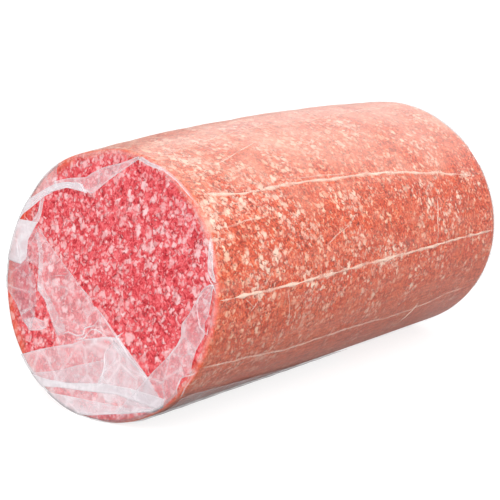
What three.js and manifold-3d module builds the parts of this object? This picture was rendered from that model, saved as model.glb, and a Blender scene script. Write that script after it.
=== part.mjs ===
// A half log of fine-grained cured sausage, wrapped in clear film that is folded over the cut.
// Millimetres, +Z up. The log lies on its side along X with the cut face towards -X, and the
// origin is under its middle, on the surface that it rests on.
import * as THREE from "three";
import { mergeVertices } from "three/addons/utils/BufferGeometryUtils.js";
import Module from "manifold-3d";

// The log, over the film.
const CUT_HEIGHT = 104;
const CUT_WIDTH = 114;
const LENGTH = 194;
const BELLY = 0.041; // how much wider the log is at its fullest section than at the cut
const BELLY_AT = 120; // distance of the fullest section from the cut
const REAR_SHARE = 1.028; // the section at the far end, as a share of the cut's
const CUT_LEAN = THREE.MathUtils.degToRad(10); // the knife went in this far off square
const LEAN_FADES = 62; // distance from the cut where the sections stand upright again
const SAG = 0.8; // how far the log's own weight has flattened its underside
const FRONT_EDGE = 2.2; // rounding radius where the film turns over the cut
const REAR_EDGE = 6; // rounding radius of the far end

// The film.
const PLY = 0.3;
const CLEARANCE = 0.3; // between the film and the meat
const LIP = 1.2; // how far the film reaches in over the rim beside an opening
const BITE = 0.05; // how deep one ply sinks into the next, so that they join

const AROUND = 48;
const STATIONS = [4, 14, 30, 46, LEAN_FADES, 90, BELLY_AT, 150, 172];
const EDGE_STEPS = 3;

const MEAT_INSET = PLY + CLEARANCE;
const HALF_TURN = Math.PI / 2;

const wasm = await Module();
wasm.setup();

// The size of the section at a distance from the cut, as a share of the cut's own.
function swell(station) {
  if (station < BELLY_AT) {
    return 1 + BELLY * Math.sin((HALF_TURN * Math.max(station, 0)) / BELLY_AT);
  }
  const past = Math.min((station - BELLY_AT) / (LENGTH - REAR_EDGE - BELLY_AT), 1);
  return 1 + BELLY - (1 + BELLY - REAR_SHARE) * (1 - Math.cos(HALF_TURN * past));
}

// One closed section: an oval with its underside pressed flat.
function section(station, inset, depth) {
  const share = swell(station);
  const halfHeight = (CUT_HEIGHT / 2) * share - inset;
  const halfWidth = (CUT_WIDTH / 2) * share - inset;
  const middle = (CUT_HEIGHT / 2) * share - SAG;
  const lean = Math.tan(CUT_LEAN) * Math.max(0, 1 - station / LEAN_FADES);
  return Array.from({ length: AROUND }, (_, i) => {
    const angle = (2 * Math.PI * i) / AROUND;
    const up = (halfHeight - depth) * Math.sin(angle);
    const z = Math.max(middle + up, inset);
    const y = (halfWidth - depth) * Math.cos(angle);
    return new THREE.Vector3(station + lean * (z - CUT_HEIGHT / 2 + SAG), y, z);
  });
}

// The sections of a log whose surface lies inset from the outermost one, from cut to far end.
function sections(inset, front, rear) {
  const frontEdge = Math.max(FRONT_EDGE - inset, 0.5);
  const rearEdge = REAR_EDGE - inset;
  const rings = [];
  for (let i = 0; i <= EDGE_STEPS; i++) {
    const turn = (HALF_TURN * i) / EDGE_STEPS;
    const along = front + frontEdge * (1 - Math.sin(turn));
    rings.unshift(section(along, inset, frontEdge * (1 - Math.cos(turn))));
  }
  for (const station of STATIONS) rings.push(section(station, inset, 0));
  for (let i = 0; i <= EDGE_STEPS; i++) {
    const turn = (HALF_TURN * i) / EDGE_STEPS;
    const along = rear - rearEdge * (1 - Math.sin(turn));
    rings.push(section(along, inset, rearEdge * (1 - Math.cos(turn))));
  }
  return rings;
}

// Skins the rings into one closed surface, with a fan over each end.
function skin(rings) {
  const points = rings.flat();
  const faces = [];
  for (let r = 0; r + 1 < rings.length; r++) {
    for (let i = 0; i < AROUND; i++) {
      const next = (i + 1) % AROUND;
      const [a, b] = [r * AROUND + i, r * AROUND + next];
      faces.push(a, b, a + AROUND, b, b + AROUND, a + AROUND);
    }
  }
  for (const [ring, order] of [[0, -1], [rings.length - 1, 1]]) {
    const hub = points.length;
    const middle = new THREE.Vector3();
    for (const point of rings[ring]) middle.addScaledVector(point, 1 / AROUND);
    points.push(middle);
    for (let i = 0; i < AROUND; i++) {
      const [a, b] = [ring * AROUND + i, ring * AROUND + ((i + 1) % AROUND)];
      faces.push(...(order > 0 ? [hub, a, b] : [hub, b, a]));
    }
  }
  const geometry = new THREE.BufferGeometry().setFromPoints(points);
  return geometry.setIndex(faces);
}

function solid(geometry) {
  const bare = geometry.clone();
  for (const name of ["normal", "uv"]) bare.deleteAttribute(name);
  const merged = mergeVertices(bare);
  const vertProperties = merged.attributes.position.array;
  const triVerts = new Uint32Array(merged.index.array);
  return new wasm.Manifold(new wasm.Mesh({ numProp: 3, vertProperties, triVerts }));
}

function geometryOf(manifold) {
  const mesh = manifold.getMesh();
  const positions = new THREE.BufferAttribute(mesh.vertProperties, 3);
  const geometry = new THREE.BufferGeometry().setAttribute("position", positions);
  geometry.setIndex(new THREE.BufferAttribute(mesh.triVerts, 1));
  return geometry.toNonIndexed();
}

// A log-shaped solid. front and rear are where its two ends lie, measured from the cut.
function log(inset, front, rear) {
  return solid(skin(sections(inset, front, rear)));
}

// The height of the middle of the cut above the surface.
const CUT_MIDDLE = CUT_HEIGHT / 2 - SAG;

// On the cut, across runs to the right as one faces it and up runs along the leaning face.
const ON_CUT = new THREE.Matrix4()
  .makeBasis(
    new THREE.Vector3(0, -1, 0),
    new THREE.Vector3(Math.sin(CUT_LEAN), 0, Math.cos(CUT_LEAN)),
    new THREE.Vector3(-1, 0, 0),
  )
  .setPosition(0, 0, CUT_MIDDLE);

// On the far end, across also runs to the right as one faces it.
const ON_REAR = new THREE.Matrix4()
  .makeBasis(
    new THREE.Vector3(0, 1, 0),
    new THREE.Vector3(0, 0, 1),
    new THREE.Vector3(1, 0, 0),
  )
  .setPosition(LENGTH, 0, (CUT_HEIGHT / 2) * REAR_SHARE - SAG);

// A flat plate on one end: its outline, and how far out it starts and stops.
function plate(outline, place, from, to) {
  const shape = new THREE.Shape(outline.map(([across, up]) => new THREE.Vector2(across, up)));
  const geometry = new THREE.ExtrudeGeometry(shape, { depth: to - from, bevelEnabled: false });
  return solid(geometry.translate(0, 0, from).applyMatrix4(place));
}

// The openings in the film over the cut. Past the rim they are trimmed to a lip.
const OPENINGS = [
  // The large one in the middle of the cut.
  [
    [11, 49], [20, 60], [60, 60], [66, 14], [54, 9], [50.5, 3.5], [49, -2], [43.5, -12.5],
    [29, -30], [-41, 16], [-41.5, 18.5], [-38.5, 27.5], [-30, 32], [-19.5, 34.5],
    [-11.5, 33.5], [-5.5, 38], [1, 43],
  ],
  // Above the upper fold.
  [[-34, 60], [-34, 34], [-25, 37], [-16.5, 39.5], [-7.5, 44.5], [9, 49.5], [12, 60]],
  // Low on the left.
  [
    [-64, -7], [-55.5, -11], [-46, -20], [-39, -25.5], [-28, -21], [-23, -23.5],
    [-23, -28], [-44, -35.5], [-60, -40],
  ],
];

// The folds over the cut, and the ply that each lies on: 1 is the film itself.
const FRONT_FOLDS = [
  // The upper fold, from the left rim to the top of the cut.
  {
    ply: 2,
    outline: [
      [-64, 18], [-48, 21], [-38.5, 27.5], [-30, 32], [-19.5, 34.5], [-11.5, 33.5],
      [-5.5, 38], [1, 43], [11, 49], [10, 54], [-7.5, 44.5], [-16.5, 39.5], [-25, 37],
      [-34, 34], [-34, 60], [-64, 60],
    ],
  },
  // The doubled corner at the left rim.
  {
    ply: 2,
    outline: [
      [-64, 21], [-41, 20], [-46, 11], [-46, 2.5], [-48.5, 0.5], [-55.5, 2], [-64, 2],
    ],
  },
  // The broad sheet under the long slanting edge.
  {
    ply: 2,
    outline: [
      [-41, 16], [29, -30], [8, -60], [-20, -60], [-20, -24], [-29, -15], [-37, -9],
      [-37, -4], [-36, 3],
    ],
  },
  // The lower sheet, turned up from the bottom.
  {
    ply: 3,
    outline: [[-70, -44], [-44, -36], [-21, -27.5], [3.5, -19.5], [29, -30], [40, -60], [-70, -60]],
  },
  // The strip along the right rim, over the rest.
  {
    ply: 4,
    outline: [
      [54.5, 9], [50.5, 3.5], [49, -2], [43.5, -12.5], [31, -30], [15.5, -46], [14, -60],
      [44, -60], [44, -37.5], [45, -28], [51, -24], [54, -13.5], [54.5, -8.5], [54, 3],
    ],
  },
];

// The far end is closed like a parcel: two side tucks, then a lower and an upper flap.
const REAR_FOLDS = [
  { ply: 2, outline: [[-60, 34], [-14, 6], [-14, -4], [-60, -36]] },
  { ply: 2, outline: [[60, 34], [60, -36], [14, -4], [14, 6]] },
  { ply: 3, outline: [[-34, -60], [-20, 5], [20, 5], [34, -60]] },
  { ply: 4, outline: [[-36, 60], [36, 60], [21, -9], [-21, -9]] },
];

// The outside of the film once so many plies lie over each end.
function envelope(frontPlies, rearPlies) {
  const front = -CLEARANCE - PLY * frontPlies;
  return log(0, front, LENGTH + PLY * (rearPlies - 1));
}

// A fold bites into all that lies under it, so that no gap is left where plies step down.
function frontFold({ ply, outline }) {
  const outside = CLEARANCE + PLY * ply;
  return plate(outline, ON_CUT, CLEARANCE + PLY - BITE, outside + 1).intersect(envelope(ply, 1));
}

function rearFold({ ply, outline }) {
  return plate(outline, ON_REAR, -BITE, PLY * ply).intersect(envelope(1, ply));
}

// A loose fin of film, pressed against the front of the log just above the surface.
function underFin() {
  const outline = new THREE.Shape(
    [[1, 1.5], [1, 15.5], [10, 15.5], [53, 11], [100, 4], [100, 1.5]].map(
      ([along, up]) => new THREE.Vector2(along, up),
    ),
  );
  const geometry = new THREE.ExtrudeGeometry(outline, { depth: CUT_WIDTH, bevelEnabled: false });
  const reach = solid(geometry.rotateX(HALF_TURN));
  return log(-PLY, -CLEARANCE, LENGTH).intersect(reach).subtract(log(BITE, -CLEARANCE, LENGTH));
}

function film() {
  const cavity = log(PLY, -CLEARANCE, LENGTH - PLY);
  const within = log(PLY + LIP, -CLEARANCE - 2 * PLY, LENGTH / 2);
  let wrap = envelope(1, 1).subtract(cavity);
  for (const outline of OPENINGS) {
    wrap = wrap.subtract(plate(outline, ON_CUT, 0, CLEARANCE + PLY).intersect(within));
  }
  for (const fold of FRONT_FOLDS) wrap = wrap.add(frontFold(fold));
  for (const fold of REAR_FOLDS) wrap = wrap.add(rearFold(fold));
  return wrap.add(underFin());
}

function meat() {
  return log(MEAT_INSET, 0, LENGTH - MEAT_INSET);
}

function piece(name, manifold, material) {
  const mesh = new THREE.Mesh(geometryOf(manifold), new THREE.MeshStandardMaterial(material));
  mesh.name = name;
  return mesh;
}

const wrapped = new THREE.Group();
wrapped.add(
  piece("sausage", meat(), { color: 0xc8545c, roughness: 0.5, metalness: 0 }),
  piece("film_wrap", film(), {
    color: 0xf2e6e8,
    roughness: 0.15,
    metalness: 0,
    transparent: true,
    opacity: 0.35,
  }),
);

// The origin goes under the middle of the finished piece.
const box = new THREE.Box3().setFromObject(wrapped);
wrapped.position.set(-(box.min.x + box.max.x) / 2, -(box.min.y + box.max.y) / 2, -box.min.z);

const part = new THREE.Group();
part.add(wrapped);

export default part;
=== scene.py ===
# A half log of fine-grained cured sausage on its side, in clear film that is folded over the cut.
import math

import bmesh
import bpy
from mathutils import Matrix, Vector, noise


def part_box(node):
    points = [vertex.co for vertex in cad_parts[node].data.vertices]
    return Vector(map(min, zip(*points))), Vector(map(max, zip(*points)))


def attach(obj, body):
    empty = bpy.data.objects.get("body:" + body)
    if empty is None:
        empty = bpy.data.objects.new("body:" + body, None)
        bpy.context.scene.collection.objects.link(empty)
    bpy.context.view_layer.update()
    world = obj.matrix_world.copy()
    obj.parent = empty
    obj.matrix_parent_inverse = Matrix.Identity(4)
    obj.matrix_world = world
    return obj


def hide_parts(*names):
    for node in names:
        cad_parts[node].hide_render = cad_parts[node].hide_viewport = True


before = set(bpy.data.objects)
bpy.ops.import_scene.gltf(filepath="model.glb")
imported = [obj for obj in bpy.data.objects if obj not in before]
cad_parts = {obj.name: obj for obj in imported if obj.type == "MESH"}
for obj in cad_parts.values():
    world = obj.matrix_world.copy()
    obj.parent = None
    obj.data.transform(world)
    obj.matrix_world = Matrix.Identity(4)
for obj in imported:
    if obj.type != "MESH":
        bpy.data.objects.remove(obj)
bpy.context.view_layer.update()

MM = 0.001

# -- The studio --
# The log lies on a pale floor with white all round, under broad soft lights in front, above and behind. The
# camera looks at the middle of the log from in front of its cut, a little above it, through a long lens.
LENGTH = 194.0
MEAT_INSET = 0.6
CUT_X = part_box("sausage")[1].x / MM - (LENGTH - MEAT_INSET)

VIEW_AZIMUTH = math.radians(-50.06)
VIEW_ELEVATION = math.radians(12.12)
VIEW_DISTANCE = 641.0
AIM = Vector((CUT_X + 87.4, 0.4, 51.0)) * MM

camera = bpy.data.objects.new("camera", bpy.data.cameras.new("camera"))
bpy.context.scene.collection.objects.link(camera)
bpy.context.scene.camera = camera
camera.data.lens = 108
camera.data.sensor_width = 36
back = Vector((
    math.sin(VIEW_AZIMUTH) * math.cos(VIEW_ELEVATION),
    -math.cos(VIEW_AZIMUTH) * math.cos(VIEW_ELEVATION),
    math.sin(VIEW_ELEVATION),
))
camera.location = AIM + back * VIEW_DISTANCE * MM
camera.rotation_euler = (-back).to_track_quat("-Z", "Y").to_euler()
bpy.context.scene.view_settings.view_transform = "Standard"


def light(name, kind, energy, towards):
    """A light that shines on the log from the given direction."""
    lamp = bpy.data.objects.new(name, bpy.data.lights.new(name, kind))
    bpy.context.scene.collection.objects.link(lamp)
    lamp.data.energy = energy
    lamp.rotation_euler = towards.to_track_quat("Z", "Y").to_euler()
    return lamp


key = light("key_softbox", "SUN", 2.8, Vector((-0.55, -0.55, 0.6)))
key.data.angle = math.radians(55)

TOP_OFFSET = Vector((0.9, 0.2, 0.62))
top = light("top_softbox", "AREA", 3.0, TOP_OFFSET)
top.data.shape = "RECTANGLE"
top.data.size = 1.3
top.data.size_y = 0.9
top.location = AIM + TOP_OFFSET

fill = light("fill_softbox", "SUN", 1.9, Vector((0.62, 0.62, 0.12)))
fill.data.angle = math.radians(50)
fill.visible_glossy = False

# The surround and the floor shine less on the log than they look, so that both stay white to the eye.
SURROUND_LIGHT = 0.46
SURROUND_SEEN = 1.3
FLOOR_LIGHT = 0.19
FLOOR_SEEN = 0.82
world = bpy.data.worlds.new("white_surround")
bpy.context.scene.world = world
world.use_nodes = True
ambient = world.node_tree.nodes["Background"]
ambient.inputs["Color"].default_value = (1, 1, 1, 1)
seen = world.node_tree.nodes.new("ShaderNodeLightPath").outputs["Is Camera Ray"]
level = world.node_tree.nodes.new("ShaderNodeMapRange")
level.inputs["To Min"].default_value = SURROUND_LIGHT
level.inputs["To Max"].default_value = SURROUND_SEEN
world.node_tree.links.new(seen, level.inputs["Value"])
world.node_tree.links.new(level.outputs["Result"], ambient.inputs["Strength"])

FLOOR_RADIUS = 12
bm = bmesh.new()
bmesh.ops.create_circle(bm, cap_ends=True, radius=FLOOR_RADIUS, segments=64)
floor_mesh = bpy.data.meshes.new("floor")
bm.to_mesh(floor_mesh)
bm.free()
floor = bpy.data.objects.new("floor", floor_mesh)
bpy.context.scene.collection.objects.link(floor)
floor_paint = bpy.data.materials.new("floor_paint")
floor_paint.use_nodes = True
paint = floor_paint.node_tree.nodes["Principled BSDF"]
paint.inputs["Base Color"].default_value = (0.3, 0.3, 0.3, 1)
paint.inputs["Roughness"].default_value = 0.9
paint.inputs["Specular IOR Level"].default_value = 0.0
paint.inputs["Emission Color"].default_value = (1, 1, 1, 1)
floor_seen = floor_paint.node_tree.nodes.new("ShaderNodeLightPath").outputs["Is Camera Ray"]
glow = floor_paint.node_tree.nodes.new("ShaderNodeMapRange")
glow.inputs["To Min"].default_value = FLOOR_LIGHT
glow.inputs["To Max"].default_value = FLOOR_SEEN
floor_paint.node_tree.links.new(floor_seen, glow.inputs["Value"])
floor_paint.node_tree.links.new(glow.outputs[0], paint.inputs["Emission Strength"])
floor_mesh.materials.append(floor_paint)

# -- The meat --
# One solid piece of finely minced and cured meat, stuffed to an oval log, its casing stripped off and cut
# through near square. The face shows clean crumbs of fat; the side is smeared and warmer.
HALF_HEIGHT = 52.0
HALF_WIDTH = 57.1
SAG = 0.8
BELLY = 0.041
BELLY_AT = 120.0
REAR_SHARE = 1.028
LEAN = 0.176
LEAN_FADES = 62.0
FRONT_EDGE = 2.0
REAR_EDGE = 6.0
# Where the far side is fuller or flatter than an oval: degrees up from level, spread in degrees, and share.
UNEVEN_SIDE = ((50, 18, 0.014), (-32, 9, 0.010), (-45, 7, 0.014), (-62, 8, -0.022))


def part_way(value, low, high):
    """How far a value has got from a low level to a high one, held between 0 and 1."""
    return min(max((value - low) / (high - low), 0), 1)


def swell(x):
    """The size of the section at a distance from the cut, as a share of the cut's own."""
    if x < BELLY_AT:
        return 1 + BELLY * math.sin(math.pi / 2 * max(x, 0) / BELLY_AT)
    past = min((x - BELLY_AT) / (LENGTH - REAR_EDGE - BELLY_AT), 1)
    return 1 + BELLY - (1 + BELLY - REAR_SHARE) * (1 - math.cos(math.pi / 2 * past))


def on_section(x, share, angle, lowest=0.0):
    """A point at a distance from the cut, a share of the way out to the surface and an angle round the
    log, in millimetres from under the middle of the cut. The surface is a little uneven."""
    broad = noise.noise((x / 26, 2.1 * math.cos(angle), 2.1 * math.sin(angle)))
    fine = noise.noise((x / 9, 5.5 * math.cos(angle), 5.5 * math.sin(angle) + 7))
    size = swell(x) * (1 + 0.004 * broad + 0.002 * fine)
    for degrees, spread, much in UNEVEN_SIDE:
        size *= 1 + much * math.exp(-(((math.degrees(angle) - degrees) / spread) ** 2))
    middle = HALF_HEIGHT * size - SAG
    z = max(middle + HALF_HEIGHT * size * share * math.sin(angle), lowest)
    lean = LEAN * max(0, 1 - max(x, 0) / LEAN_FADES)
    return Vector((x + lean * (z - HALF_HEIGHT + SAG), HALF_WIDTH * size * share * math.cos(angle), z))


def profile(lift, front, step, rear=0.0):
    """The line from the middle of one end to the middle of the other, as distance and share pairs, for a
    skin that lies so far outside the log's nominal surface. front and rear are the shares it starts and
    stops at."""
    def edge(station, towards, radius):
        return [
            (
                station + towards * (radius - (radius + lift) * math.cos(turn)),
                1 - (radius - (radius + lift) * math.sin(turn)) / HALF_HEIGHT,
            )
            for turn in (math.pi / 2 * i / 6 for i in range(7))
        ]

    front_rim = edge(0, 1, FRONT_EDGE)
    rear_rim = edge(LENGTH, -1, REAR_EDGE)[::-1]
    face_rings = max(int((front_rim[0][1] - front) * HALF_HEIGHT / step), 1)
    side_rings = int((rear_rim[0][0] - front_rim[-1][0]) / step)
    rear_rings = int((rear_rim[-1][1] - rear) * HALF_HEIGHT / step)
    points = [
        (-lift, front + (front_rim[0][1] - front) * i / face_rings) for i in range(face_rings)
    ]
    points += front_rim
    points += [
        (
            front_rim[-1][0] + (rear_rim[0][0] - front_rim[-1][0]) * i / side_rings,
            1 + lift / HALF_HEIGHT,
        )
        for i in range(1, side_rings)
    ]
    points += rear_rim
    points += [
        (LENGTH + lift, rear_rim[-1][1] + (rear - rear_rim[-1][1]) * i / rear_rings)
        for i in range(1, rear_rings + 1)
    ]
    return points


def turned(line, segments):
    """A bmesh shell turned about X from a line of distance and share pairs."""
    bm = bmesh.new()
    verts = [bm.verts.new((x, 0, share)) for x, share in line]
    edges = [bm.edges.new(pair) for pair in zip(verts, verts[1:])]
    bmesh.ops.spin(
        bm, geom=verts + edges, axis=(1, 0, 0), cent=(0, 0, 0), angle=2 * math.pi,
        steps=segments, use_merge=True,
    )
    bmesh.ops.remove_doubles(bm, verts=bm.verts, dist=1e-6)
    return bm


def pressed(bm, lowest):
    """Presses a turned shell to the log's own oval and flattened sections, in millimetres."""
    for v in bm.verts:
        share = math.hypot(v.co.y, v.co.z)
        v.co = on_section(v.co.x, share, math.atan2(v.co.z, v.co.y), lowest)
    bmesh.ops.recalc_face_normals(bm, faces=bm.faces)
    bm.normal_update()


def finished(bm, name, material):
    """Moves a bmesh from millimetres at the cut into the row's frame, as a smooth-shaded piece."""
    bm.transform(Matrix.Diagonal((MM, MM, MM, 1)) @ Matrix.Translation((CUT_X, 0, 0)))
    mesh = bpy.data.meshes.new(name)
    bm.to_mesh(mesh)
    bm.free()
    for face in mesh.polygons:
        face.use_smooth = True
    mesh.materials.append(material)
    piece = bpy.data.objects.new(name, mesh)
    bpy.context.scene.collection.objects.link(piece)
    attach(piece, "root")
    return piece


class Nodes:
    """Short ways to add and join shader nodes in one tree."""

    def __init__(self, tree):
        self.tree = tree

    def add(self, kind, inputs=(), **settings):
        node = self.tree.nodes.new("ShaderNode" + kind)
        for name, value in settings.items():
            setattr(node, name, value)
        for name, value in dict(inputs).items():
            if isinstance(value, bpy.types.NodeSocket):
                self.tree.links.new(value, node.inputs[name])
            else:
                node.inputs[name].default_value = value
        return node

    def math(self, operation, *values, clamp=False):
        node = self.add("Math", dict(enumerate(values)), operation=operation, use_clamp=clamp)
        return node.outputs[0]

    def ramp(self, value, low, high, to_low=0.0, to_high=1.0):
        node = self.add(
            "MapRange",
            {"Value": value, "From Min": low, "From Max": high, "To Min": to_low, "To Max": to_high},
            interpolation_type="SMOOTHSTEP",
        )
        return node.outputs["Result"]

    def steady(self, value, low, high, to_low=0.0, to_high=1.0):
        """Stretches a value between two levels to a new range, with no easing."""
        node = self.add(
            "MapRange",
            {"Value": value, "From Min": low, "From Max": high, "To Min": to_low, "To Max": to_high},
        )
        return node.outputs["Result"]

    def colours(self, value, *stops):
        """A colour that passes evenly through the given ones as the value goes from 0 to 1."""
        node = self.add("ValToRGB", {"Fac": value})
        while len(node.color_ramp.elements) < len(stops):
            node.color_ramp.elements.new(0.5)
        for i, (element, colour) in enumerate(zip(node.color_ramp.elements, stops)):
            element.position = i / (len(stops) - 1)
            element.color = (*colour, 1)
        return node.outputs["Color"]

    def attribute(self, name):
        return self.add("Attribute", attribute_name=name).outputs["Fac"]

    def stretch(self, vector, by):
        return self.add("VectorMath", {0: vector, 1: by}, operation="MULTIPLY").outputs[0]

    def place_in_mm(self):
        return self.stretch(self.add("TexCoord").outputs["Object"], (1000, 1000, 1000))

    def mix(self, factor, a, b):
        node = self.add("Mix", data_type="RGBA", clamp_factor=True)
        for index, value in ((0, factor), (6, a), (7, b)):
            if isinstance(value, bpy.types.NodeSocket):
                self.tree.links.new(value, node.inputs[index])
            else:
                node.inputs[index].default_value = value
        return node.outputs[2]


# Cell size in millimetres, the draw from which a cell holds a crumb, its widest radius and its whiteness.
CRUMBS = ((3.4, 0.34, 0.62, 1.0), (2.2, 0.32, 0.62, 0.9), (1.4, 0.34, 0.60, 0.6))


def minced_grain():
    """A shader group: soft-edged crumbs of fat in three sizes, the mottled tone of the lean between them,
    and small dark specks of spice and dried blood."""
    group = bpy.data.node_groups.new("minced_grain", "ShaderNodeTree")
    group.interface.new_socket("Position", in_out="INPUT", socket_type="NodeSocketVector")
    group.interface.new_socket("Fatness", in_out="INPUT", socket_type="NodeSocketFloat")
    group.interface.new_socket("Fat", in_out="OUTPUT", socket_type="NodeSocketFloat")
    group.interface.new_socket("Tone", in_out="OUTPUT", socket_type="NodeSocketFloat")
    group.interface.new_socket("Specks", in_out="OUTPUT", socket_type="NodeSocketFloat")
    n = Nodes(group)
    given = group.nodes.new("NodeGroupInput")
    out = group.nodes.new("NodeGroupOutput")
    position = given.outputs["Position"]
    warp = n.add("TexNoise", {"Vector": position, "Scale": 0.4, "Detail": 1.0, "Roughness": 0.5})
    shift = n.add("VectorMath", {0: warp.outputs["Color"], 1: (0.5, 0.5, 0.5)}, operation="SUBTRACT")
    pushed = n.add(
        "VectorMath", {0: shift.outputs[0], 1: (4.0, 4.0, 4.0), 2: position}, operation="MULTIPLY_ADD"
    )
    place = pushed.outputs[0]
    ragged = n.add("TexNoise", {"Vector": position, "Scale": 1.3, "Detail": 3.0, "Roughness": 0.6})
    frayed = n.steady(ragged.outputs["Fac"], 0.25, 0.75, -0.12, 0.12)
    fat = 0.0
    for size, rarity, widest, whitest in CRUMBS:
        cells = n.add(
            "TexVoronoi", {"Vector": place, "Scale": 1 / size, "Smoothness": 0.45}, feature="SMOOTH_F1"
        )
        drawn = n.add("SeparateColor", {"Color": cells.outputs["Color"]})
        draw = n.math("ADD", drawn.outputs["Red"], given.outputs["Fatness"])
        radius = n.steady(draw, rarity, 1.0, 0.0, widest)
        inside = n.math("ADD", n.math("SUBTRACT", radius, cells.outputs["Distance"]), frayed)
        white = n.steady(drawn.outputs["Green"], 0.0, 1.0, 0.5 * whitest, whitest)
        fat = n.math("MAXIMUM", fat, n.math("MULTIPLY", n.ramp(inside, -0.25, 0.30), white))
    fine = n.add("TexNoise", {"Vector": place, "Scale": 0.75, "Detail": 4.0, "Roughness": 0.6})
    broad = n.add("TexNoise", {"Vector": position, "Scale": 0.22, "Detail": 2.0, "Roughness": 0.6})
    tone = n.math(
        "ADD", n.math("MULTIPLY", fine.outputs["Fac"], 0.7), n.math("MULTIPLY", broad.outputs["Fac"], 0.3)
    )
    group.links.new(fat, out.inputs["Fat"])
    group.links.new(n.steady(tone, 0.36, 0.64), out.inputs["Tone"])
    grit = n.add("TexNoise", {"Vector": position, "Scale": 0.85, "Detail": 2.0, "Roughness": 0.5})
    group.links.new(n.ramp(grit.outputs["Fac"], 0.58, 0.70), out.inputs["Specks"])
    return group


# Where there are several colours, they go from the darkest to the lightest.
CUT_LEAN = ((0.36, 0.008, 0.018), (0.77, 0.072, 0.088), (0.95, 0.21, 0.23))
CUT_FAT = (1.0, 0.67, 0.68, 1)
CUT_SPECK = (0.20, 0.01, 0.018, 1)
SIDE_LEAN = ((0.13, 0.018, 0.010), (0.55, 0.052, 0.018), (0.82, 0.12, 0.045), (0.95, 0.30, 0.15))
SIDE_LEAN_DUSKY = (0.62, 0.095, 0.065, 1)
SIDE_FAT_WARM = (1.0, 0.64, 0.44, 1)
SIDE_FAT_PALE = (1.0, 0.77, 0.62, 1)
SIDE_SPECK = (0.19, 0.035, 0.014, 1)
STREAK_DARK = (0.48, 0.08, 0.034, 1)
STREAK_LIGHT = (0.88, 0.23, 0.115, 1)
# Painted reflection: a pale salmon for the haze of the light above on the film over the top of the log.
TOP_PAINTED_HAZE = (0.93, 0.46, 0.34, 1)
DRIED_RIM = (0.85, 0.11, 0.012, 1)


def cured_meat():
    """Crimson lean and pale fat where it is cut, and orange-red with cream fat on the outside."""
    material = bpy.data.materials.new("cured_meat")
    material.use_nodes = True
    n = Nodes(material.node_tree)
    skin = material.node_tree.nodes["Principled BSDF"]
    place = n.place_in_mm()
    outside = n.attribute("outside")
    fat_and_painted_light = n.attribute("fat_and_painted_light")
    rim = n.attribute("rim")
    drift = n.add("TexNoise", {"Vector": place, "Scale": 0.06, "Detail": 2.0}).outputs["Fac"]

    # The cut: clean crumbs of fat in crimson lean.
    grain = n.add("Group", node_tree=minced_grain())
    cut_fatness_and_painted_light = n.math("ADD", n.ramp(drift, 0.3, 0.7, -0.10, 0.10), fat_and_painted_light)
    n.tree.links.new(place, grain.inputs["Position"])
    n.tree.links.new(cut_fatness_and_painted_light, grain.inputs["Fatness"])
    fat = grain.outputs["Fat"]
    tone = grain.outputs["Tone"]
    cut_meat = n.mix(fat, n.colours(tone, *CUT_LEAN), CUT_FAT)
    cut_meat = n.mix(n.math("MULTIPLY", grain.outputs["Specks"], 0.38), cut_meat, CUT_SPECK)

    # The outside: finer and more orange, with dark specks.
    outer = n.add("Group", node_tree=grain.node_tree)
    side_fatness_and_painted_light = n.math("ADD", n.ramp(drift, 0.3, 0.7, -0.13, 0.13), fat_and_painted_light)
    n.tree.links.new(n.stretch(place, (1.2, 1.1, 1.1)), outer.inputs["Position"])
    n.tree.links.new(side_fatness_and_painted_light, outer.inputs["Fatness"])
    side_lean = n.colours(outer.outputs["Tone"], *SIDE_LEAN)
    side_lean = n.mix(n.math("MULTIPLY", tone, 0.5), side_lean, SIDE_LEAN_DUSKY)
    side_fat = n.mix(n.steady(drift, 0.4, 0.6), SIDE_FAT_WARM, SIDE_FAT_PALE)
    side_meat = n.mix(outer.outputs["Fat"], side_lean, side_fat)
    side_meat = n.mix(n.math("MULTIPLY", outer.outputs["Specks"], 0.9), side_meat, SIDE_SPECK)

    # The grain is smeared over where the casing was drawn off, in streaks. More of it low down is painted
    # shade, and up top it turns paler as a painted reflection of the light above.
    streaks = n.add(
        "TexNoise",
        {"Vector": n.stretch(place, (0.2, 1, 1)), "Scale": 0.9, "Detail": 3.0, "Roughness": 0.65},
    )
    height = n.add("SeparateXYZ", {"Vector": place}).outputs["Z"]
    smear_and_painted_haze = n.mix(n.steady(streaks.outputs["Fac"], 0.35, 0.65), STREAK_DARK, STREAK_LIGHT)
    # Painted reflection: above 62 mm the smear turns paler, for the light above glancing off the film.
    smear_and_painted_haze = n.mix(n.steady(height, 62, 96), smear_and_painted_haze, TOP_PAINTED_HAZE)
    side_meat = n.mix(n.attribute("bare_of_smear_and_painted_light"), smear_and_painted_haze, side_meat)
    side_meat = n.mix(n.math("MULTIPLY", rim, 0.85), side_meat, DRIED_RIM)
    n.tree.links.new(n.mix(outside, cut_meat, side_meat), skin.inputs["Base Color"])

    skin.inputs["Roughness"].default_value = 0.42
    skin.inputs["Specular IOR Level"].default_value = 0.25
    skin.inputs["Coat Roughness"].default_value = 0.28
    glossy = n.math("SUBTRACT", outside, rim, clamp=True)
    n.tree.links.new(n.math("MULTIPLY", glossy, 0.55), skin.inputs["Coat Weight"])
    relief = n.math("ADD", n.math("MULTIPLY", fat, 0.6), n.math("MULTIPLY", tone, 0.4))
    bump = n.add("Bump", {"Strength": 0.25, "Distance": 0.0003, "Height": relief})
    n.tree.links.new(bump.outputs[0], skin.inputs["Normal"])
    return material


# The meat stays a little inside the film that clings to it, and off the floor. Its side is freshest next to
# the cut.
MEAT_LIFT = -0.3
MEAT_LOWEST = 0.3
FRESH_REACH = 30.0
bm = turned(profile(MEAT_LIFT, 0.0, 1.3), 264)
outside = bm.verts.layers.float.new("outside")
rim = bm.verts.layers.float.new("rim")
bare_of_smear_and_painted_light = bm.verts.layers.float.new("bare_of_smear_and_painted_light")
fat_and_painted_light = bm.verts.layers.float.new("fat_and_painted_light")
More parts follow.
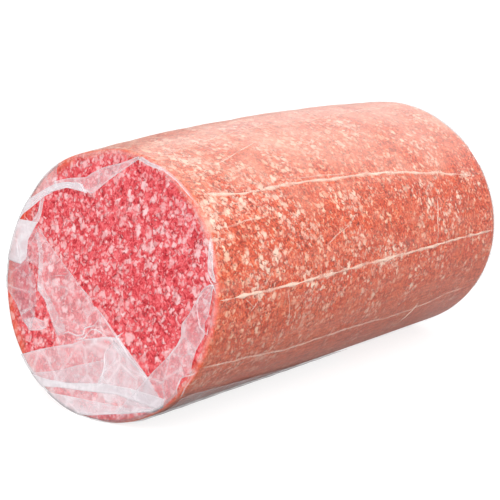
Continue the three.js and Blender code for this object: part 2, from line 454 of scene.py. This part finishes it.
# A turned shell is of radius 1 across X. The cut has dried at its rim, and more so on the far side. The
# side is fattier and less smeared near the cut, and leaner towards the far end. As painted shade it is
# leaner and more smeared low down. As painted light it is fattier high up, where more smear paints the
# reflection of the light above. The top of the cut is fattier, partly for its larger crumbs and partly as
# painted light.
for v in bm.verts:
    share = math.hypot(v.co.y, v.co.z)
    uneven = noise.noise((v.co.y * 9, v.co.z * 9, v.co.x / 4))
    rim_width = 0.06 + 0.14 * max(v.co.y - 0.3, 0)
    dried = part_way(share + 0.025 * uneven, 1 - rim_width, 1)
    round_the_edge = part_way(v.co.x, 0.4, 1.4)
    v[outside] = max(0.8 * dried, round_the_edge)
    v[rim] = dried * math.exp(-max(v.co.x - 0.3, 0) / (1.3 + 0.8 * uneven))
    fresh = math.exp(-max(v.co.x, 0) / FRESH_REACH)
    patchy = noise.noise((v.co.x / 11, v.co.y * 4, v.co.z * 4 + 9))
    # Painted shade and light: low down the side is made leaner and more smeared, high up fattier and more
    # smeared.
    low_down = part_way(-v.co.z, 0.05, 0.4)
    high_up = part_way(v.co.z, 0.45, 0.8)
    far_along = part_way(v.co.x, 100, 160)
    # Partly painted light: the top of the cut is made fattier, partly for its larger crumbs.
    on_face = 0.12 * part_way(v.co.z, 0.55, 0.85)
    rich = max(0, 1 - abs(v.co.z - 0.58) / 0.25) * fresh
    lean_and_painted_shade = 0.075 + 0.08 * low_down + 0.05 * far_along
    on_flank = 0.12 * rich + 0.11 * fresh + 0.07 * high_up - lean_and_painted_shade
    v[fat_and_painted_light] = on_face + (on_flank - on_face) * round_the_edge
    kept = max(0.95 + 0.4 * fresh + 0.5 * patchy, 0.4)
    # Painted shade low down and a painted reflection up top: both take bare grain from the side and give it
    # to the smear.
    v[bare_of_smear_and_painted_light] = kept * (1 - 0.5 * low_down) * (1 - 0.35 * high_up)
pressed(bm, MEAT_LOWEST)
meat = finished(bm, "sausage_log", cured_meat())
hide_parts("sausage")

# -- The film along the side --
# Cling film, one thickness round the log and over its far end. It clings to the meat, its front edge lies
# just inside the rim of the cut, and it holds shallow wrinkles that run with the log.
FILM_THICKNESS = 0.05
FILM_LIFT = 0.10
FRONT_LIP = 0.985
CLEAR_FILM = (0.91, 0.87, 0.895, 1)
WARMED_FILM = (1.0, 0.80, 0.66, 1)
# Painted shade: a dark mauve that the film is greyed towards where it should look shaded.
FILM_IN_PAINTED_SHADE = (0.40, 0.29, 0.34, 1)
MOST_HIDDEN = 0.96


def crumple(place, size):
    """Height and sharpness of the facets that film creases into, from cells of a size in millimetres."""
    near, far = noise.voronoi(place / size)[0][:2]
    return far - near, math.exp(-(far - near) / 0.07)


def clear_film():
    """Thin clear film with a milky bloom. Each piece says how much it hides, how much painted shade greys
    it, and how warm where it clings to the orange side."""
    material = bpy.data.materials.new("clear_film")
    material.use_nodes = True
    n = Nodes(material.node_tree)
    skin = material.node_tree.nodes["Principled BSDF"]
    cover = n.attribute("cover")
    bloom = n.add("TexNoise", {"Vector": n.place_in_mm(), "Scale": 0.3, "Detail": 2.0, "Roughness": 0.5})
    bloom = bloom.outputs["Fac"]
    patchy = n.steady(bloom, 0.3, 0.7, 0.82, 1.18)
    n.tree.links.new(n.math("MULTIPLY", cover, patchy, clamp=True), skin.inputs["Alpha"])
    clinging = n.mix(n.attribute("warm"), CLEAR_FILM, WARMED_FILM)
    # Painted shade: the attribute greys the film's colour towards a dark mauve.
    n.tree.links.new(n.mix(n.attribute("painted_shade"), clinging, FILM_IN_PAINTED_SHADE), skin.inputs["Base Color"])
    skin.inputs["Roughness"].default_value = 0.2
    skin.inputs["IOR"].default_value = 1.9
    bump = n.add("Bump", {"Strength": 0.4, "Distance": 0.0004, "Height": bloom})
    n.tree.links.new(bump.outputs[0], skin.inputs["Normal"])
    return material


def one_side(cover):
    """The opacity of one surface of a film whose two surfaces together hide a share of what is behind."""
    return 1 - math.sqrt(1 - min(max(cover, 0.0), MOST_HIDDEN))


def filmed(bm, name):
    """Finishes a piece of film: gives it its thickness and lets it dim nothing that it covers."""
    piece = finished(bm, name, film_material)
    wall = piece.modifiers.new("thickness", "SOLIDIFY")
    wall.thickness = FILM_THICKNESS * MM
    wall.offset = 0
    piece.visible_shadow = False
    return piece


film_material = clear_film()
bm = turned(profile(FILM_LIFT, FRONT_LIP, 1.6), 216)
cover = bm.verts.layers.float.new("cover")
bm.verts.layers.float.new("painted_shade")
warm = bm.verts.layers.float.new("warm")
for v in bm.verts:
    angle = math.atan2(v.co.z, v.co.y)
    pulled = noise.noise((v.co.x / 60, math.cos(angle) * 9, math.sin(angle) * 9 + 3))
    ridge = max(0.0, 1 - abs(pulled) * 7)
    v.co.yz *= 1 + 0.004 * ridge
    at_lip = math.exp(-max(v.co.x, 0) / 0.8) * (0.4 + noise.noise((angle * 5, 1, 2)))
    v[cover] = one_side(0.02 + 0.08 * ridge + 0.15 * max(at_lip, 0))
    v[warm] = part_way(v.co.x, 0, 4)
pressed(bm, 0.02)
sleeve = filmed(bm, "film_sleeve")
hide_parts("film_wrap")

# -- The pleats along the side --
# Where the film was pulled tight it has doubled over into narrow pleats, pressed flat on the log. Three
# long ones run from the cut to the far end, and short creases cross them.


def between(points, share):
    """The point a share of the way along a line of points."""
    lengths = [math.dist(a, b) for a, b in zip(points, points[1:])]
    left = share * sum(lengths)
    for (a, b), length in zip(zip(points, points[1:]), lengths):
        if left <= length or (a, b) == (points[-2], points[-1]):
            part = min(left / length, 1)
            return tuple(p + (q - p) * part for p, q in zip(a, b))
        left -= length


def on_side(x, degrees, lift):
    """A point on the side: millimetres from the cut, and degrees up from level on the near side."""
    angle = math.pi - math.radians(degrees)
    return on_section(x, 1 + lift / HALF_HEIGHT, angle)


# Each line's points as millimetres from the cut and degrees up from level, its width, and its whiteness.
PLEATS = {
    "upper": ([(6, 47), (27, 42.5), (54, 41.5), (83, 39), (115, 36.7), (149, 32), (178, 27)], 1.7, 0.8),
    "upper_twin": ([(60, 43.4), (83, 41), (104, 39)], 0.7, 0.5),
    "upper_branch": ([(4, 31.6), (12, 30.6), (22, 31.5), (36, 30.8)], 1.1, 0.6),
    "middle": (
        [(0.8, 3.6), (13, 2.7), (38, 1), (73, 0.4), (121, -0.4), (169, -0.3), (187, -0.7)], 1.7, 0.9,
    ),
    "lower": ([(2, -25), (23, -27.2), (49, -31), (88, -31), (114, -32.4)], 1.2, 0.55),
    "lower_far": ([(112, -33), (136, -33), (160, -30), (176, -29)], 0.9, 0.4),
    "cross_far": ([(146, 21), (142, 10), (140, -1)], 0.8, 0.6),
    "cross_near": ([(39, 0), (41, -8), (43, -17)], 0.7, 0.45),
    "nick_a": ([(15, 1.5), (21, -4)], 0.7, 0.7),
    "nick_b": ([(18, -5.5), (23, -0.5)], 0.7, 0.7),
    "slant_near": ([(64, 12.5), (72, 16), (83, 18.5)], 0.8, 0.55),
    "slant_far": ([(134, -42), (139, -28)], 1.1, 0.6),
    "top_near": ([(26, 59), (50, 64), (62, 67)], 0.6, 0.7),
    "top_far": ([(80, 57), (96, 61), (113, 66)], 0.6, 0.6),
    "top_long": ([(12, 74), (60, 78), (120, 75), (172, 79)], 0.9, 0.4),
    "near_top_nick": ([(6, 52), (9, 44), (12, 40)], 0.9, 0.7),
    "far_side_upper": ([(8, 150), (50, 143), (110, 148), (180, 141)], 1.4, 0.6),
    "far_side_middle": ([(5, 186), (60, 181), (130, 187), (184, 183)], 1.5, 0.7),
    "far_side_lower": ([(12, 214), (70, 219), (150, 213)], 1.1, 0.5),
    "far_side_cross": ([(96, 162), (101, 174), (99, 183)], 0.8, 0.5),
}

# How far a pleat's edges lie off the log, and its middle above them. No film goes below the last height.
PLEAT_LIFT = 0.35
PLEAT_RISE = 0.35
FILM_LOWEST = 0.05


def pleat(name, line, width, whiteness, place):
    """A narrow doubled strip of film laid along a line, ragged in width and tapering out at its ends."""
    length = sum(math.dist(place(*a, 0), place(*b, 0)) for a, b in zip(line, line[1:]))
    bm = bmesh.new()
    bmesh.ops.create_grid(bm, x_segments=max(int(length / 0.8), 6), y_segments=4, size=1)
    cover = bm.verts.layers.float.new("cover")
    bm.verts.layers.float.new("painted_shade")
    warm = bm.verts.layers.float.new("warm")
    for v in bm.verts:
        share, off = (v.co.x + 1) / 2, v.co.y
        here = share * length
        seed = Vector((here / 7, len(name) * 3.1, whiteness * 9))
        taper = min(1, share * length / 4, (1 - share) * length / 4)
        ragged = 0.8 + 0.9 * noise.noise(seed * 1.4)
        middle = Vector(place(*between(line, share), PLEAT_LIFT))
        ahead = Vector(place(*between(line, min(share + 0.004, 1)), PLEAT_LIFT))
        behind = Vector(place(*between(line, max(share - 0.004, 0)), PLEAT_LIFT))
        out = Vector(place(*between(line, share), PLEAT_LIFT + 1)) - middle
        sideways = (ahead - behind).normalized().cross(out.normalized())
        sway = 0.5 * noise.noise(seed)
        rise = PLEAT_RISE * (1 - off * off) * taper
        v.co = middle + sideways * (off * width / 2 * ragged * max(taper, 0.08) + sway) + out * rise
        v.co.z = max(v.co.z, FILM_LOWEST)
        v[cover] = one_side(whiteness * (0.75 + 0.6 * noise.noise(seed * 1.2)) * (1 - 0.5 * off * off))
        v[warm] = float(place is on_side)
    bmesh.ops.recalc_face_normals(bm, faces=bm.faces)
    filmed(bm, name)


for name, (line, width, whiteness) in PLEATS.items():
    pleat("pleat_" + name, line, width, whiteness, on_side)

# -- The plies over the cut --
# The loose end of the film is folded over the cut in several overlapping plies, and leaves most of the
# face bare. Each ply is milky, whiter where it doubles, with a bright folded hem along its edges.
CUT_REACH = HALF_HEIGHT * math.hypot(1, LEAN)


def on_end(across, up, lift, rear):
    """A point over one end of the log, across to the near side and up from its middle. Past the rim it
    follows the film round the edge and along the side, and clings closer to the meat."""
    radius, reach = (REAR_EDGE, HALF_HEIGHT) if rear else (FRONT_EDGE, CUT_REACH)
    share = math.hypot(across / HALF_WIDTH, up / reach)
    angle = math.atan2(up / reach, -across / HALF_WIDTH)
    past = (share - 1) * HALF_HEIGHT + radius
    turn = min(max(past / radius, 0), math.pi / 2)
    lift *= min(max(1 - past / radius, 0.2), 1)
    inwards = radius - (radius + lift) * math.cos(turn) + max(past - radius * math.pi / 2, 0)
    if past > 0:
        share = 1 - (radius - (radius + lift) * math.sin(turn)) / HALF_HEIGHT
    return on_section(LENGTH - inwards if rear else inwards, share, angle)


def on_cut(across, up, lift):
    return on_end(across, up + SAG, lift, False)


def on_rear(across, up, lift):
    return on_end(across, up, lift, True)


# A hem's width and the spacing of a ply's grid, and how much painted shade greys a ply where it is flat.
HEM = 0.45
GRID = 0.8
FLAT_PLY_PAINTED_SHADE = 0.24


def ply(
    name, first, second, lift, cover, painted_shade=0.0, hems=(1, 1, 0), puff=0.4, cells=11, place=on_cut, veins=0.28
):
    """A sheet of film ruled between two edges, creased into facets, with folded hems along the edges and
    at its far end. Over an end of the log it clings and clears where it passes the rim. hems says how bold
    the hem is along the first edge, the second edge and the far end, puff how far the sheet stands off,
    cells how wide its facets are, and veins how white the creases are between them."""
    long = max(sum(math.dist(a, b) for a, b in zip(edge, edge[1:])) for edge in (first, second))
    wide = max(math.dist(between(first, t / 8), between(second, t / 8)) for t in range(9))
    rows = max(int(wide / GRID), 4)
    bm = bmesh.new()
    bmesh.ops.create_grid(bm, x_segments=int(long / GRID), y_segments=rows, size=1)
    cover_layer = bm.verts.layers.float.new("cover")
    painted_shade_layer = bm.verts.layers.float.new("painted_shade")
    placed = {}
    for v in bm.verts:
        share, row = (v.co.x + 1) / 2, round((v.co.y + 1) / 2 * rows)
        a, b = Vector(between(first, share)), Vector(between(second, share))
        gap = max((b - a).length, 0.01)
        from_first = {1: HEM, rows - 1: gap - HEM}.get(row, gap * row / rows)
        from_first = from_first if gap > 3 * HEM else gap * row / rows
        flat = a + (b - a) * from_first / gap
        seed = Vector((flat.x, flat.y, lift * 40 + len(name)))
        facet, crease = crumple(seed, cells)
        share_out = math.hypot(flat.x / HALF_WIDTH, flat.y / CUT_REACH)
        loose, at_rim = 1, 1
        if place is not on_side:
            loose = part_way((1 - share_out) * HALF_HEIGHT, 0, 6 if place is on_rear else 3)
            at_rim = min(max((1 - share_out) / 0.025, 0.25), 1)
            flat /= max(share_out, 1)
        edge = max(
            hems[0] * math.exp(-from_first / HEM),
            hems[1] * math.exp(-(gap - from_first) / HEM),
            hems[2] * math.exp(-(1 - share) * long / HEM),
        )
        inner = min(1, from_first / 3, (gap - from_first) / 3)
        rise = puff * inner * (0.4 * facet + 0.5 * noise.noise(seed / 6)) + 0.10 * edge
        placed[v] = place(flat.x, flat.y, lift + rise * loose)
        v.co = (flat.x, flat.y, 0)
        veil = cover * (1 + 0.35 * noise.noise(seed / 9)) + veins * crease + 0.45 * edge
        v[cover_layer] = one_side(veil * at_rim)
        # Painted shade greys flat film. Hems and creases lose most of it, so they look whiter, partly for
        # the folded film and partly as painted glints.
        v[painted_shade_layer] = (FLAT_PLY_PAINTED_SHADE + (1 - FLAT_PLY_PAINTED_SHADE) * painted_shade) * (1 - 0.8 * max(edge, crease))
    mean_width = sum(face.calc_area() for face in bm.faces) / long
    for v, point in placed.items():
        v.co = point
        v.co.z = max(v.co.z, FILM_LOWEST)
    bmesh.ops.recalc_face_normals(bm, faces=bm.faces)
    piece = filmed(bm, name)


ply(
    "ply_corner", [(-57, 20), (-50, 34), (-42, 44), (-33, 50)],
    [(-49, 23.5), (-39, 30.8), (-31.5, 34), (-32, 42), (-32.5, 46)],
    lift=0.35, cover=0.40, hems=(0, 0.7, 0),
)
ply(
    "ply_leaf", [(-32, 33), (-25, 34.6), (-18, 34), (-11.1, 33.8), (-4.9, 38.4), (1.5, 42.9), (11.2, 49)],
    [(-32.7, 35), (-24.2, 37.5), (-15.5, 39.6), (-12.5, 41.8), (-6.9, 44.4), (2, 46.8), (11, 50.2)],
    lift=0.45, cover=0.38, hems=(1, 0.8, 0),
)
ply(
    "ply_band",
    [(-55, 14), (-48.9, 21), (-42.8, 25.3), (-38.1, 28.4), (-31.9, 31.3), (-25.1, 33.4), (-14, 33.6)],
    [(-57, 17), (-49.2, 24), (-46.1, 27.5), (-39.1, 30.8), (-32.3, 34), (-25.4, 35.8), (-17, 36.6)],
    lift=0.65, cover=0.82, hems=(0.9, 0.9, 0), puff=0.6, cells=6,
)
ply(
    "ply_band_tail",
    [(-39.6, 28), (-40.4, 22.8), (-43.5, 18.6)],
    [(-37.3, 28.6), (-38.3, 22), (-39.8, 18.4)],
    lift=0.55, cover=0.45, hems=(0.8, 0.8, 0), puff=0.3,
)
ply(
    "ply_veil", [(-41.9, 18), (-44.6, 11.4), (-44.5, 3)], [(-40, 15), (-37.5, 8.3), (-36.6, 0.8)],
    lift=0.4, cover=0.30, painted_shade=0.3, hems=(0, 0, 0),
)
ply(
    "ply_left", [(-62, 4), (-59, -6), (-53.3, -10.5), (-47.2, -15.5), (-42.6, -21.4), (-38, -24.4)],
    [(-44, 8), (-42.9, 1), (-39.6, -1.1), (-37.5, -5.3), (-36.6, -12), (-36.4, -18), (-37, -23)],
    lift=0.45, cover=0.34, painted_shade=0.75, hems=(0.9, 0.1, 0),
)
ply(
    "ply_left_tip",
    [(-42, -21), (-36.5, -18.8), (-30.6, -19.6)],
    [(-38.4, -24.7), (-33, -23.8), (-28.4, -22)],
    lift=0.6, cover=0.35, hems=(0.6, 1, 0), puff=0.3, cells=5,
)
ply(
    "ply_patch",
    [(-54, 19), (-59, 10), (-61, 2.6)],
    [(-39.8, 18.8), (-44.4, 11.4), (-44.3, 4), (-47.4, 1.2)],
    lift=0.75, cover=0.80, hems=(0, 0.7, 0), cells=9,
)
ply(
    "ply_broad",
    [(-40.6, 16), (-37.5, 8), (-36.6, 0), (-36.2, -7.6), (-30.7, -11.8), (-25, -21), (-20.5, -27.4),
     (-7, -22.8), (5, -20.5), (28, -32)],
    [(-39.5, 17.5), (-33.4, 12.2), (-24.6, 6.1), (-11.2, -3.3), (2.6, -12.6), (13.2, -20.5), (28.4, -31)],
    lift=0.5, cover=0.27, hems=(0.5, 0.6, 0), puff=0.6,
)
ply(
    "ply_pale_fold",
    [(-41, 14.5), (-38, 8.3), (-36.8, 2.4), (-36.6, -6), (-30.7, -11.8), (-27.8, -16.4), (-21.7, -23.9)],
    [(-38.8, 15), (-35.2, 8), (-34.5, 1.6), (-34.2, -5), (-28, -10.6), (-23.4, -15), (-17.5, -21)],
    lift=0.6, cover=0.36, hems=(0.5, 0, 0), puff=0.2,
)
ply(
    "ply_lower",
    [(-50, -38), (-41.7, -35), (-21.2, -27.3), (-7, -22.3), (4.9, -19.4), (11, -18.8), (28.2, -31),
     (36, -38)],
    [(-46, -46), (-36, -52), (-24, -54), (-12, -53), (-2, -51.2), (8, -49), (22, -45.6), (37, -41)],
    lift=0.75, cover=0.50, hems=(0.7, 0.8, 0), cells=14,
)
ply(
    "ply_lower_turned", [(-40, -42.4), (-34.9, -40.9), (-21.9, -37.2), (-8.3, -32.7), (6, -28)],
    [(-38, -44), (-28.6, -43.3), (-14.2, -42), (-3.8, -40.5), (6, -38.5)],
    lift=0.85, cover=0.34, hems=(0.8, 0, 0), cells=14,
)
ply(
    "ply_low_right", [(7.4, -22.2), (5.1, -25.6), (5.8, -30.3), (2.8, -38), (8, -44)],
    [(9, -20), (17.7, -24.5), (28, -31.3), (33, -36), (37, -41)],
    lift=0.95, cover=0.46, hems=(0.8, 0.6, 0),
)
ply(
    "ply_bottom", [(-29, -47.8), (-25.2, -46.4), (-13.4, -45.8), (0.4, -45.1), (20.5, -44.1), (35, -41)],
    [(-24, -51), (-15, -52.5), (-8.5, -51.4), (-0.1, -51.1), (7.9, -49), (20.8, -46), (36, -42)],
    lift=0.95, cover=0.50, hems=(0.9, 0.5, 0), puff=0.3, cells=14,
)
ply(
    "ply_bottom_lip", [(-14, -51.4), (-0.1, -51.1), (7.9, -49), (20.8, -46), (34, -42)],
    [(-14, -54), (0, -55), (10, -54), (22, -50), (35, -44)],
    lift=0.3, cover=0.30, painted_shade=0.9, hems=(0, 0, 0), puff=0.1,
)
ply(
    "ply_white_band",
    [(-38, -42), (-34.9, -40.9), (-28.6, -41.3), (-14.2, -40.8), (6.2, -37.3), (20, -36.4), (38, -37)],
    [(-35, -47), (-28.8, -44.8), (-18.8, -43.4), (-6.9, -42.4), (13.3, -40.2), (36, -41.5)],
    lift=1.05, cover=0.86, hems=(0.6, 0.6, 0), puff=0.2, cells=14,
)
ply(
    "ply_right",
    [(53.8, 8.5), (50.1, 5.1), (47.8, 1), (45.3, -3.9), (42.2, -8.2), (42.6, -12.8), (40.9, -16.3),
     (36.7, -21.8), (31.1, -27.5), (23.4, -36.6), (14, -47)],
    [(54.8, 8), (55, 3), (54.6, -3), (53.2, -6), (53.8, -10.5), (50.6, -16.2), (49.4, -21),
     (49, -25), (44.6, -27.7), (42.6, -34), (35, -42.5)],
    lift=1.15, cover=0.38, painted_shade=0.25, hems=(0.9, 0.6, 0),
)
ply(
    "ply_rim",
    [(11, 49), (16.3, 47.2), (23.8, 46.2), (31, 42.8), (40.3, 36.5), (48.4, 30.6), (49.9, 24.3),
     (51.3, 12.7), (54.5, 9)],
    [(12, 50.2), (17, 48.4), (24.6, 47.2), (32, 43.6), (41.2, 37.3), (49.5, 31), (51.4, 25), (53.3, 14),
     (55.6, 8.6)],
    lift=0.3, cover=0.40, hems=(1, 0.7, 0), puff=0.2, cells=5,
)

# Each crease's points across and up from the middle of the cut, its width, and its whiteness.
CREASES = {
    "under_broad": (
        [(-21.7, -23.9), (-15.7, -20.9), (-7.3, -20.4), (-7, -17.9), (-2.4, -16.1), (0.5, -12.3)], 0.9, 0.8,
    ),
    "under_broad_low": (
        [(-12.6, -22.8), (-7.1, -22.1), (-3.5, -17.8), (-0.9, -17.4), (9, -20), (13.8, -15.8)], 0.7, 0.8,
    ),
    "twist": ([(0.5, -11), (7.1, -16.2), (13.2, -20.7), (17.7, -24.3), (27.8, -31)], 1.3, 0.85),
    "knot": ([(-21, 37), (-17, 36.4), (-14.5, 33.6), (-11.5, 34)], 1.1, 0.9),
    "knot_low": ([(-18.7, 33), (-17.4, 35), (-15.2, 37.5)], 0.7, 0.8),
    "broad_level": ([(-29.4, -0.8), (-20.2, 0.5)], 0.5, 0.8),
    "broad_slant": ([(-27.1, -1.7), (-23.3, -3.2)], 0.4, 0.7),
    "upright": ([(7.4, -22.7), (5.1, -25.6), (5.8, -30.3), (5, -34.4), (2.8, -37.7)], 0.8, 0.7),
    "upright_low": ([(6.7, -31), (8.1, -36.7)], 0.5, 0.6),
    "lower_nick": ([(-9.3, -25.7), (-4.4, -31.2)], 0.5, 0.6),
    "left_cross": ([(-47.6, -23.2), (-44.3, -20.4), (-37.5, -15.5)], 0.4, 0.7),
    "tip_left": ([(-38, -24.4), (-36.5, -19.4)], 0.7, 0.85),
    "tip_right": ([(-32.6, -19), (-29.4, -21.9)], 0.6, 0.85),
    "patch_fold": ([(-50.4, 11), (-47.6, 1.6)], 0.6, 0.6),
    "band_line": ([(-47.6, 25.4), (-38, 30.2), (-30, 33), (-21, 35.4)], 0.8, 0.9),
    "band_line_low": ([(-47, 23), (-40, 28), (-31, 32.2), (-24, 34)], 0.5, 0.9),
    "window_line": ([(-47.4, 20.6), (-43.6, 18.6)], 0.4, 0.7),
    "bottom_slant": ([(24, -36.6), (16.5, -43.8), (12, -48.5)], 0.6, 0.7),
    "corner_a": ([(51, -24.4), (45, -27.7), (43.7, -31.2), (41.6, -37.6)], 0.9, 0.85),
    "corner_b": ([(49, -26.6), (45.8, -31.3), (42.9, -38.9)], 0.6, 0.7),
    "right_inner": (
        [(51.5, 5.6), (49, 2.6), (48.8, -0.4), (50.3, -4.5), (51.4, -8), (54.4, -9.4)], 0.7, 0.75,
    ),
    "right_nick": ([(50.4, -7.4), (54.6, -10.4), (55, -6.4)], 0.5, 0.75),
    "cross_a": ([(51.3, 12.7), (54, 9), (56.2, 4.4)], 0.8, 0.9),
    "cross_b": ([(48.4, 3.4), (51.8, 6.8), (56, 8.6)], 0.8, 0.9),
    "cross_c": ([(50, 0.6), (53.6, 5.8), (54.6, 9)], 0.5, 0.8),
}
CREASE_LIFT = 0.9


def over_plies(across, up, lift):
    """A point on top of the plies that are folded over the cut."""
    return on_cut(across, up, lift + CREASE_LIFT)


for name, (line, width, whiteness) in CREASES.items():
    pleat("crease_" + name, line, width, whiteness, over_plies)

# -- The film over the far end --
# At the far end the film is closed like a parcel: the two sides are tucked in first, then the lower flap
# is folded up over them and the upper flap down over that.
# Each flap's name, its two edges across and up from the middle of the far end, its lift, and its cover.
REAR_FLAPS = (
    ("rear_tuck_near", [(66, 38), (34, 19), (13, 6)], [(66, -40), (34, -20), (13, -4)], 0.45, 0.26),
    ("rear_tuck_far", [(-66, 38), (-34, 19), (-13, 6)], [(-66, -40), (-34, -20), (-13, -4)], 0.45, 0.26),
    ("rear_flap_low", [(-50, -56), (-35, -28), (-25, 5)], [(49, -57), (34, -30), (26, 5)], 0.75, 0.30),
    ("rear_flap_high", [(-52, 54), (-36, 24), (-27, -9)], [(51, 55), (37, 26), (28, -9)], 1.05, 0.32),
)
for name, first, second, lift, cover in REAR_FLAPS:
    ply(name, first, second, lift, cover, hems=(1, 1, 1), cells=26, place=on_rear, veins=0.10)

# Each fold's points across and up from the middle of the far end, its width, and its whiteness.
GATHERS = {
    "high_a": ([(-29, 42), (-22, 20), (-19, -6)], 1.4, 0.7),
    "high_b": ([(-17, 49), (-12, 22), (-11, 4)], 1.0, 0.5),
    "high_c": ([(-4, 51), (-3, 30), (-5, -7)], 1.3, 0.6),
    "high_d": ([(11, 50), (8, 28), (6, 12)], 0.9, 0.5),
    "high_e": ([(24, 45), (15, 20), (13, -7)], 1.4, 0.7),
    "low_a": ([(-25, -44), (-19, -28), (-17, -12)], 1.2, 0.6),
    "low_b": ([(-6, -51), (-4, -32), (-7, -12)], 1.0, 0.6),
    "low_c": ([(9, -50), (10, -26), (6, -11)], 1.3, 0.6),
    "low_d": ([(27, -43), (19, -24), (16, -12)], 1.0, 0.5),
    "near_a": ([(53, 12), (42, 8), (30, 3)], 1.3, 0.6),
    "near_b": ([(54, -6), (42, -5), (31, -2)], 1.0, 0.5),
    "near_c": ([(50, -20), (42, -15), (33, -8)], 1.0, 0.5),
    "far_a": ([(-52, 16), (-42, 11), (-30, 4)], 1.0, 0.5),
    "far_b": ([(-54, -3), (-42, -2), (-29, 0)], 1.3, 0.6),
    "far_c": ([(-51, -18), (-42, -13), (-31, -7)], 0.9, 0.5),
}
GATHER_LIFT = 1.0


def over_flaps(across, up, lift):
    """A point on top of the flaps that close the far end."""
    return on_rear(across, up, lift + GATHER_LIFT)


for name, (line, width, whiteness) in GATHERS.items():
    pleat("gather_" + name, line, width, whiteness, over_flaps)

# -- The loose overlap under the near side --
# The film's long edge overlaps underneath, and near the cut it hangs a little off the meat there.
ply(
    "film_overlap",
    [(3, -43), (9, -42), (15, -43.5), (32, -46), (57, -50), (85, -56), (120, -62)],
    [(5, -74), (30, -76), (60, -76), (90, -76), (120, -76)],
    lift=0.3, cover=0.36, painted_shade=0.0, hems=(0.8, 0, 0.2), puff=0.5, cells=15, place=on_side,
)
